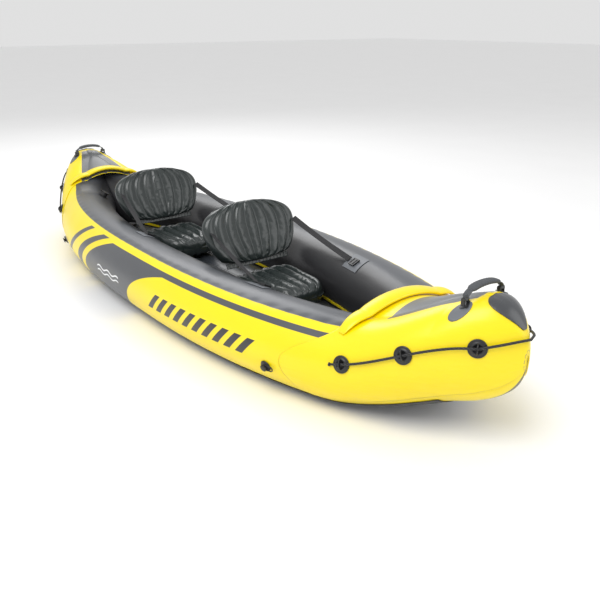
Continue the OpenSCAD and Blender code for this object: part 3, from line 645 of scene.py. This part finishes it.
def rope_point(x):
    """Port point of the rope at x: along one angle of the tube, then straight up to the nose's height."""
    last = HALF_L - RING_GAPS[2]
    mid, wide, high, tall = section(x)
    _, _, last_high, last_tall = section(np.float64(last))
    sine = np.sin(np.radians(ROPE_ANGLE))
    from_z = last_high + (last_tall + ROPE_OFF) * sine
    climb = from_z + (NOSE_Z - from_z) * (x - last) / (NOSE_X - last)
    z = np.where(x < last, high + (tall + ROPE_OFF) * sine, climb)
    share = (z - high) / (tall + ROPE_OFF)
    y = mid + (wide + ROPE_OFF) * np.sqrt(np.clip(1 - share * share, 0, 1))
    return np.stack([x + ROPE_OFF * np.minimum(x / HALF_L, TIP_SHARE) ** 6, y, z], -1)


def rope_path():
    """The whole line, from one inner knot round the nose to the other."""
    start = HALF_L - RING_GAPS[0] - 0.025
    s = np.linspace(0, 1, 60)
    half = rope_point(start + (NOSE_X - 0.006 - start) * (1 - (1 - s) ** 1.6))
    nose = np.array([[rope_point(np.array([NOSE_X]))[0, 0] + 2 * ROPE_R, 0, NOSE_Z]])
    return np.concatenate([mirrored(half, 1), nose, half[::-1]])


def grab_line(end, name):
    """Rope along its path, with its length and its turn kept for the strands."""
    path = rope_path()
    steps = np.concatenate([[0], np.cumsum(np.linalg.norm(np.diff(path, axis=0), axis=1))])
    if end < 0:
        path = mirrored(path, 0)
    count = 16
    return piece(name + "_rope", [sweep(path, circle(ROPE_R, count), (0, 0, 1))], ROPE, replaces=[name],
                 attributes={"along": np.repeat(steps, count),
                                                "turn": np.tile(np.linspace(0, TAU, count, False), len(path))})


def line_knots(end, name):
    """Overhand knots: a trefoil of the rope's own size, pulled tight, at each end of the line."""
    path = rope_path()
    patches = []
    for tip, after in ((path[0], path[1]), (path[-1], path[-2])):
        out = unit(tip - after)
        t = np.linspace(0, TAU, 72, endpoint=False)
        across = np.sin(t) + 2 * np.sin(2 * t)
        upward = np.cos(t) - 2 * np.cos(2 * t)
        flat = np.stack([across, upward, -1.3 * np.sin(3 * t)], -1)
        centre = tip + out * 0.0071
        cross = unit(np.cross(out, (0, 0, 1)))
        turn = np.stack([cross, np.cross(out, cross), out], -1)
        loop = centre + (flat * 0.0013) @ turn.T
        patches.append(sweep(loop, circle(0.0026, 10), (0.3, 0.2, 1), closed=True))
    if end < 0:
        patches = [(mirrored(p, 0), f) for p, f in patches]
    return piece(name + "_tied", patches, ROPE, replaces=[name])


def rope_rings(end, name):
    """Round fittings: a rimmed disc, a dome with a hollow, and a bridge that the rope runs under."""
    disc = [(0.0265, 0), (0.0270, 0.0008), (0.0262, 0.0022), (0.0235, 0.0026), (0.0200, 0.0028),
            (0.0178, 0.0050), (0.0150, 0.0060), (0.0128, 0.0052), (0.0115, 0.0030)]
    patches = []
    for g in RING_GAPS:
        for side in (-1, 1):
            place = seat_on(HALF_L - g, ROPE_ANGLE, COVER_OUT + 2 * GAP, side)
            patches.append(turned(disc, place, 48))
            b = np.linspace(0, np.pi, 20)
            arch = np.stack([0 * b, 0.0125 * np.cos(b), 0.0020 + 0.0118 * np.sin(b)], -1)
            arch = arch @ place[:3, :3].T + place[:3, 3]
            patches.append(sweep(arch, slab(0.009, 0.0032), place[:3, 0]))
    if end < 0:
        patches = [(mirrored(p, 0), f) for p, f in patches]
    return piece(name + "_moulded", patches, BLACK_PLASTIC, replaces=[name])


HOOK_X = 0.866
HOOK_ANGLE = -15


def tie_hooks():
    """Four hooks of a stepped foot, a waisted post and a domed head, and the cord loops round them."""
    post = [(0.0195, 0), (0.020, 0.001), (0.0185, 0.0036), (0.010, 0.0042), (0.0068, 0.0060), (0.0068, 0.0106),
            (0.0118, 0.0116), (0.0118, 0.0146), (0.008, 0.0160)]
    a = np.linspace(0, TAU, 64, endpoint=False)
    bend, reach, rise = 0.0095, 0.011, 0.0066
    along = reach + reach * np.sign(np.cos(a)) + bend * np.cos(a)
    loop = np.stack([along, bend * np.sin(a), 0 * a + rise], -1)
    hooks, loops = [], []
    for end in (-1, 1):
        for side in (-1, 1):
            place = seat_on(HOOK_X, HOOK_ANGLE, GAP, side)
            line = loop @ place[:3, :3].T + place[:3, 3]
            made = [turned(post, place), sweep(line, circle(0.0019, 10), place[:3, 2], closed=True)]
            if end < 0:
                made = [(mirrored(p, 0), f) for p, f in made]
            hooks.append(made[0])
            loops.append(made[1])
    piece("tie_hooks_moulded", hooks, BLACK_PLASTIC, replaces=["cover_tie_hooks"])
    piece("tie_cords", loops, ROPE, replaces=["cover_tie_loops"])


# ---- Carry handles ----
def pin_height():
    """Height of the handle's pins over the ground, read from the frame's anchors."""
    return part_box("bow_handle_anchors")[1][2] - 0.006


def handle_sleeve(end, name, body):
    """Padded sleeve along the arch: a superellipse section that swells between narrow ribs."""
    t = np.linspace(np.radians(38), np.radians(142), 120)
    height = pin_height() + HANDLE_RISE * np.sin(t) ** 0.8
    path = np.stack([0 * t + HANDLE_X, HANDLE_HALF * np.cos(t), height], -1)
    ends = np.sqrt(np.clip(1 - (np.abs(t - np.pi / 2) / np.radians(52)) ** 10, 0.12, 1))
    swell = (1 + 0.07 * np.abs(np.sin(np.linspace(0, 13 * np.pi, 120)))) * ends
    profile = slab(0.027, 0.0125, 0.62)[None] * swell[:, None, None]
    points, faces = sweep(path, profile, (0, 0, 1))
    if end < 0:
        points = mirrored(points, 0)
    return piece(name + "_padded", [(points, faces)], GREY_WEB, body, [name])


def handle_patches(end, name):
    """Oval patches under the anchors: a disc of radius 1 mapped on the tube, with a raised welded edge."""
    mid, wide, _, _ = section(np.float64(HANDLE_X))
    centre = np.degrees(np.arccos((HANDLE_HALF - mid) / wide)) - 8
    r = np.linspace(0, 1, 10)[:, None]
    a = np.linspace(0, TAU, 48, endpoint=False)[None, :]
    x, angle = HANDLE_X + 0.024 * r * np.cos(a), centre + 14 * r * np.sin(a)
    patches = []
    for side in (-1, 1):
        rows = [on_tube(x, angle, COVER_OUT + 2 * GAP + 0.0008 * bump(r, 0.86, 0.1)),
                on_tube(x[::-1][:1], angle[::-1][:1], COVER_OUT + GAP)]
        points = np.concatenate(rows)
        points = points if side > 0 else mirrored(points, 1)
        patches.append(surface(points if end > 0 else mirrored(points, 0), round_cols=True, capped=True))
    return piece(name + "_welded", patches, PATCH, replaces=[name])


# ---- Seats ----
SEAT_X = (("front", 0.290), ("rear", -0.515))
PAD_THICK = 0.061
TRIM = 0.985                # a pad's share of its CAD size, so that air can fill the rest
SIM_FRAMES = 20
PRESSURE = 4.0
SLACK = 0.012
CAP_MOVE = 0.007
PAD_STEP = 0.0052
START_THICK = 0.92
RIB_DEPTH = 0.34
BACK_LEAN = 23
BACK_FOOT = 0.009
BACK_H = 0.246
HINGE_LIFT = 0.011
WEB_W = 0.025
HEM_HALF = 0.146
HEM_RISE = 0.020
HEM_T = 0.0018


def coordinates(mesh):
    """A mesh's points as an array."""
    points = np.empty(len(mesh.vertices) * 3, np.float32)
    mesh.vertices.foreach_get("co", points)
    return points.reshape(-1, 3)


def inflate(obj, pressure, slack, cap):
    """Cloth under air pressure with the points marked sewn held still; slack is the film's spare length, and no
    point moves further than cap. The result goes into the mesh."""
    mesh = obj.data
    held = np.empty(len(mesh.vertices), np.float32)
    mesh.attributes["sewn"].data.foreach_get("value", held)
    group = obj.vertex_groups.new(name="sewn")
    group.add(np.flatnonzero(held > 0.5).tolist(), 1.0, "REPLACE")
    rest = coordinates(mesh)
    cloth = obj.modifiers.new("air", "CLOTH")
    settings = cloth.settings
    settings.quality = 6
    settings.mass = 0.12
    settings.tension_stiffness = 25.0
    settings.compression_stiffness = 25.0
    settings.shear_stiffness = 8.0
    settings.bending_stiffness = 0.6
    settings.vertex_group_mass = "sewn"
    settings.use_pressure = True
    settings.uniform_pressure_force = pressure
    settings.shrink_min = -slack
    settings.effector_weights.gravity = 0
    cloth.point_cache.frame_start = 1
    cloth.point_cache.frame_end = SIM_FRAMES
    scene = bpy.context.scene
    for frame_number in range(1, SIM_FRAMES + 1):
        scene.frame_set(frame_number)
    view = obj.evaluated_get(bpy.context.evaluated_depsgraph_get())
    shift = coordinates(view.data) - rest
    far = np.linalg.norm(shift, axis=1, keepdims=True)
    shift *= cap * np.tanh(far / cap) / np.maximum(far, 1e-9)
    obj.modifiers.clear()
    obj.vertex_groups.clear()
    mesh.vertices.foreach_set("co", (rest + shift).ravel())
    mesh.update()
    scene.frame_set(1)


def puffed(u, v, ribs, seed):
    """Height share of a pad over u, v from -1 to 1 before it is inflated: full almost to a rounded rim, with sewn
    valleys between round ribs that run along u, and small gathers where the ribs end."""
    rim = (np.abs(u) ** 7 + np.abs(v) ** 7) ** (1 / 7)
    dome = (1 - np.clip(rim, 0, 1) ** 9) ** 0.5
    phase = (v + 1) / 2 * ribs
    rib = np.sqrt(1 - (2 * (phase % 1.0) - 1) ** 2 * 0.98)
    depth = RIB_DEPTH * smooth(1.0, 0.86, np.abs(u))
    gather = smooth(0.70, 0.96, np.abs(u)) * (1 - smooth(0.97, 1.0, rim))
    folds = np.sin(phase * TAU * 3 + 2 * ripple(u * 2, v * ribs / 2, seed))
    return dome * (1 - depth * (1 - rib)) * (1 + 0.05 * gather * folds), rim


def seat_pad(name, node, half_width, length, thick, place, ribs, seed, body):
    """Pad of that outline: half_width gives its half width over its length, place puts it in the row frame. It is
    two films on a grid with a sewn line at every rib's edge, and air fills them."""
    per_rib = 10 if ribs < 8 else 8
    u = np.sin(np.linspace(-np.pi / 2, np.pi / 2, int(length / PAD_STEP)) * 0.999)[:, None]
    u = 0.45 * u + 0.55 * np.linspace(-1, 1, len(u))[:, None]
    v = np.linspace(-1, 1, ribs * per_rib + 1)[None, :]
    share, rim = puffed(u, v, ribs, seed)
    wide = half_width((u + 1) / 2)
    x, y = u * length / 2 + 0 * v, v * wide
    top = np.stack([x, y, share * thick / 2 * START_THICK], -1)
    under = top * (1, 1, -1)
    lines = (np.arange(v.shape[1]) % per_rib == 0)[None, :] & (np.abs(u) < 0.88)
    sewn = np.where(lines | (rim > 0.995), 1.0, 0.0)
    sewn[:, 0] = 1.0
    sewn[:, -1] = 1.0
    patches = [surface(top), surface(under)]
    both = {"rim": smooth(0.86, 1.0, np.tile(rim.ravel(), 2)), "sewn": np.tile(sewn.ravel(), 2)}
    obj = piece(name, patches, SEAT, body, [node], attributes=both, finish=False)
    inflate(obj, PRESSURE, SLACK, CAP_MOVE)
    points = coordinates(obj.data) @ place[:3, :3].T + place[:3, 3]
    obj.data.vertices.foreach_set("co", points.astype(np.float32).ravel())
    obj.data.attributes.remove(obj.data.attributes["sewn"])
    obj.data.update()
    outward(obj.data)
    soft = obj.modifiers.new("film", "SUBSURF")
    soft.levels = 1
    soft.render_levels = 1
    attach(obj, body)
    return obj


def cushion_half(t):
    """Half width of a cushion: a taper to the front, rounded off by a superellipse at both ends."""
    c = np.abs(2 * t - 1)
    return (0.150 - 0.027 * t) * np.clip(1 - c ** 4.76, 0, 1) ** 0.21 * TRIM + 0.001


def back_half(t):
    """Half width of a backrest over its height: widest at six tenths, round above, drawn in at the foot."""
    low = 0.150 + 0.064 * np.sin(np.pi / 2 * np.clip(t / 0.6, 0, 1))
    high = 0.214 * np.clip(1 - np.clip((t - 0.6) / 0.4, 0, 1) ** 2.3, 0, 1) ** 0.46
    foot = np.clip(t / 0.1, 0, 1)
    return np.where(t < 0.6, low, high) * np.where(t < 0.1, (foot * (2 - foot)) ** 0.35, 1) * TRIM + 0.002


def backrest_hem(name, hinge, slope, normal):
    """Welded hem from a backrest's foot down to its hinge line: a thin sheet gathered in small even waves."""
    y = np.linspace(-HEM_HALF, HEM_HALF, 160)[:, None]
    s = np.linspace(0, 1, 8)[None, :]
    wave = 0.0016 * np.sin(y * TAU / 0.017) * s + 0.0010 * ripple(y * 8, s, 61)
    rise = hinge + slope * (s * HEM_RISE)[..., None] + normal * wave[..., None]
    rise[..., 1] = np.broadcast_to(y, wave.shape)
    layers = (rise + normal * HEM_T / 2, rise - normal * HEM_T / 2)
    return piece(name + "_backrest_hem", [sheet_patch(*layers)] + sheet_ends(*layers), SEAT, name + "_backrest",
                 attributes={"rim": np.ones(2 * wave.size)})


def seats():
    """Both seats: a cushion of six ribs, a leaning backrest of nine and the welded hem at its foot."""
    lean = np.radians(BACK_LEAN)
    for seed, (name, x) in enumerate(SEAT_X):
        low, high = (np.array(v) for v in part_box(name + "_cushion"))
        place = np.eye(4)
        place[:3, 3] = (low + high) / 2
        seat_pad(name + "_cushion_ribbed", name + "_cushion", cushion_half, (high - low)[0] * TRIM,
                 (high - low)[2] * TRIM, place, 6, 40 + seed, "hull")
        back = np.eye(4)
        slope = np.array([-np.sin(lean), 0, np.cos(lean)])
        normal = np.array([np.cos(lean), 0, np.sin(lean)])
        hinge = np.array([x, 0, high[2] + HINGE_LIFT])
        back[:3, 0], back[:3, 1], back[:3, 2] = slope, np.cross(normal, slope), normal
        back[:3, 3] = hinge + slope * (BACK_FOOT + BACK_H / 2)
        seat_pad(name + "_backrest_ribbed", name + "_backrest", back_half, BACK_H * TRIM, PAD_THICK, back, 9,
                 50 + seed, name + "_backrest")
        backrest_hem(name, hinge, slope, normal)


def side_straps():
    """Webbing from each backrest to its buckle: a thin superellipse on a line that twists slightly."""
    for name in ("front", "rear"):
        for side, word in ((1, "port"), (-1, "starboard")):
            node = f"{name}_{word}_strap"
            low, high = (np.array(v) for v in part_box(node))
            inner, outer = sorted((abs(low[1]), abs(high[1])))
            a = np.array([low[0], inner + WEB_W / 2, high[2] - WEB_W / 3])
            b = np.array([high[0], outer - WEB_W / 3, low[2] + WEB_W / 4])
            s = np.linspace(0, 1, 50)[:, None]
            path = a + (b - a) * s - np.array([0, 0, 0.004]) * np.sin(np.pi * s)
            lean = unit(np.concatenate([0 * s, -0.55 + 0.25 * np.sin(np.pi * s), 1 + 0 * s], 1))
            points, faces = sweep(path, slab(WEB_W, 0.0018, 0.3, 20), lean)
            points = points if side > 0 else mirrored(points, 1)
            obj = piece(node + "_web", [(points, faces)], BLACK_WEB, replaces=[node],
                        finish=False)
            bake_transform(obj)


# ---- The whole boat ----
for side, name in ((1, "port_side_tube"), (-1, "starboard_side_tube")):
    side_tube(side, name)
floor()
bottom()
for end, word, edge in ((1, "bow", BOW_EDGE), (-1, "stern", STERN_EDGE)):
    cover(end, edge, word + "_spray_cover")
    coaming(end, edge, word + "_coaming_roll")
    tip_cap(end, word + "_tip_cap")
    grab_line(end, word + "_grab_line")
    line_knots(end, word + "_line_knots")
    rope_rings(end, word + "_rope_rings")
    handle_sleeve(end, word + "_handle_sleeve", word + "_handle")
    handle_patches(end, word + "_handle_patches")
tie_hooks()
seats()
side_straps()

# CAD pieces that keep their shape and get their finish
CAD_FINISH = {"floor_seam_strips": ROLL, "strap_patches": PATCH, "strap_buckles": BLACK_PLASTIC,
              "bow_handle_anchors": BLACK_PLASTIC, "stern_handle_anchors": BLACK_PLASTIC,
              "bow_handle_strap": GREY_WEB, "stern_handle_strap": GREY_WEB, "skeg_bracket": BLACK_PLASTIC}
for name, node in NODES.items():
    if not node.hide_render:
        node.data.materials.clear()
        node.data.materials.append(CAD_FINISH.get(name, VALVE_PLASTIC))

# ---- Studio ----
def studio_floor():
    """Wide pale floor under the boat."""
    p = Paint("studio_floor", 0.85)
    p.set(Base_Color=p.blend(p.noise(2.0, 2.0), (0.90, 0.90, 0.90, 1), (0.93, 0.93, 0.93, 1)))
    half, drop = 30.0, 0.0005
    corners = [[[x, y, -drop] for x in (-half, half)] for y in (-half, half)]
    points, faces = surface(np.array(corners))
    mesh = bpy.data.meshes.new("studio_floor")
    mesh.from_pydata(points.tolist(), [], faces.tolist())
    obj = bpy.data.objects.new("studio_floor", mesh)
    bpy.context.scene.collection.objects.link(obj)
    mesh.materials.append(p.material)
    if mesh.polygons[0].normal.z < 0:
        mesh.flip_normals()


def lamp(name, place, target, size, power):
    """Square soft light turned to a target."""
    data = bpy.data.lights.new(name, "AREA")
    data.energy, data.size = power, size
    obj = bpy.data.objects.new(name, data)
    bpy.context.scene.collection.objects.link(obj)
    obj.location = place
    obj.rotation_euler = (Vector(target) - Vector(place)).to_track_quat("-Z", "Y").to_euler()


studio_floor()
lamp("key_light", (1.5, -2.5, 4.0), (0, 0, 0.2), 3.0, 120)
lamp("fill_light", (4.0, 2.0, 2.5), (0.3, 0, 0.2), 3.0, 35)
lamp("back_light", (-3.5, 1.5, 3.5), (0, 0, 0.2), 2.5, 60)
world = bpy.data.worlds.new("studio")
world.use_nodes = True
world.node_tree.nodes["Background"].inputs["Color"].default_value = (1, 1, 1, 1)
world.node_tree.nodes["Background"].inputs["Strength"].default_value = 0.75
bpy.context.scene.world = world
bpy.context.scene.view_settings.view_transform = "Standard"

camera = bpy.data.objects.new("camera", bpy.data.cameras.new("camera"))
camera.data.lens = 42.5
camera.location = (2.524, -1.494, 1.128)
camera.rotation_euler = Vector((-0.739, 0.563, -0.37)).to_track_quat("-Z", "Y").to_euler()
bpy.context.scene.collection.objects.link(camera)
bpy.context.scene.camera = camera
